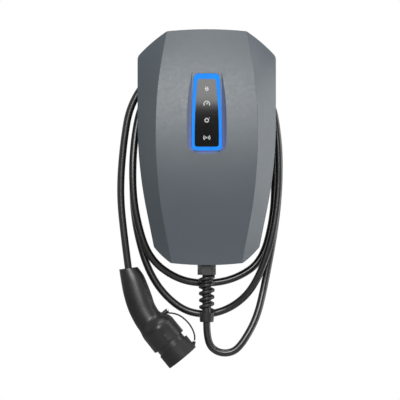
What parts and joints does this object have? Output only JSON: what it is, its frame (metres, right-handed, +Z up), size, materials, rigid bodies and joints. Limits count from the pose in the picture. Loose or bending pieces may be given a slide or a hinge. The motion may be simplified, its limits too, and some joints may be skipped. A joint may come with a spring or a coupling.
{
  "type": "ev wallbox",
  "caption": "Wall-mounted electric car charging box with a faceted cover, lit display ring, and a charging cable hung on its drum.",
  "frame": {"origin": "centre of the bracket's four wall holes, on the wall plane", "axes": "+X to the right seen from the front, +Y into the wall, +Z up"},
  "size_m": [0.3162, 0.1116, 0.643],
  "materials": {
    "cover_plastic": "satin, finely textured",
    "window_gloss": "gloss",
    "light_guide": "lit",
    "inner_plastic": "matte",
    "circuit_board": "solder mask",
    "antenna_copper": "etched copper",
    "zinc_steel": "zinc plated",
    "housing_plastic": "fine texture",
    "seal_rubber": "matte",
    "bracket_steel": "zinc plated sheet",
    "gland_plastic": "satin",
    "cable_rubber": "satin jacket",
    "component_plastic": "moulded",
    "transformer_core": "varnished",
    "capacitor_sleeve": "shrink sleeve",
    "terminal_plastic": "moulded",
    "grip_plastic": "satin",
    "contact_metal": "silver plated",
    "cap_rubber": "satin"
  },
  "bodies": {
    "wallbox": {"front_cover": "cover_plastic", "display_window": "window_gloss", "light_guide_ring": "light_guide", "display_carrier": "inner_plastic", "led_board": "circuit_board", "card_reader_antenna": "antenna_copper", "control_board": "circuit_board", "display_screws": "zinc_steel", "board_link": "inner_plastic", "rear_housing": "housing_plastic", "housing_seal": "seal_rubber", "cover_screws": "zinc_steel", "wall_bracket": "bracket_steel", "bracket_lock_screws": "zinc_steel", "supply_grommet": "seal_rubber", "gland_body": "gland_plastic", "gland_locknut": "gland_plastic", "gland_seal": "seal_rubber", "spiral_gland_nut": "gland_plastic", "cable_tail": "cable_rubber", "charging_cable": "cable_rubber", "power_board": "circuit_board", "board_screws": "zinc_steel", "relays": "component_plastic", "residual_current_sensor": "component_plastic", "supply_transformer": "transformer_core", "filter_capacitors": "capacitor_sleeve", "mains_terminal_block": "terminal_plastic", "output_terminal_block": "terminal_plastic", "terminal_screws": "zinc_steel", "connector_grip": "grip_plastic", "nose_shroud": "grip_plastic", "contact_carrier": "grip_plastic", "power_contacts": "contact_metal", "signal_contacts": "contact_metal", "tether_screw": "zinc_steel", "cap_tether": "cap_rubber"},
    "dust_cap": {"dust_cap": "cap_rubber"}
  },
  "joints": [
    {"name": "cap_pull", "type": "slide", "parent": "wallbox", "child": "dust_cap", "axis": [0.6361, 0, -0.7716], "range_m": [0, 0.02], "deforming": ["cap_tether"]}
  ]
}
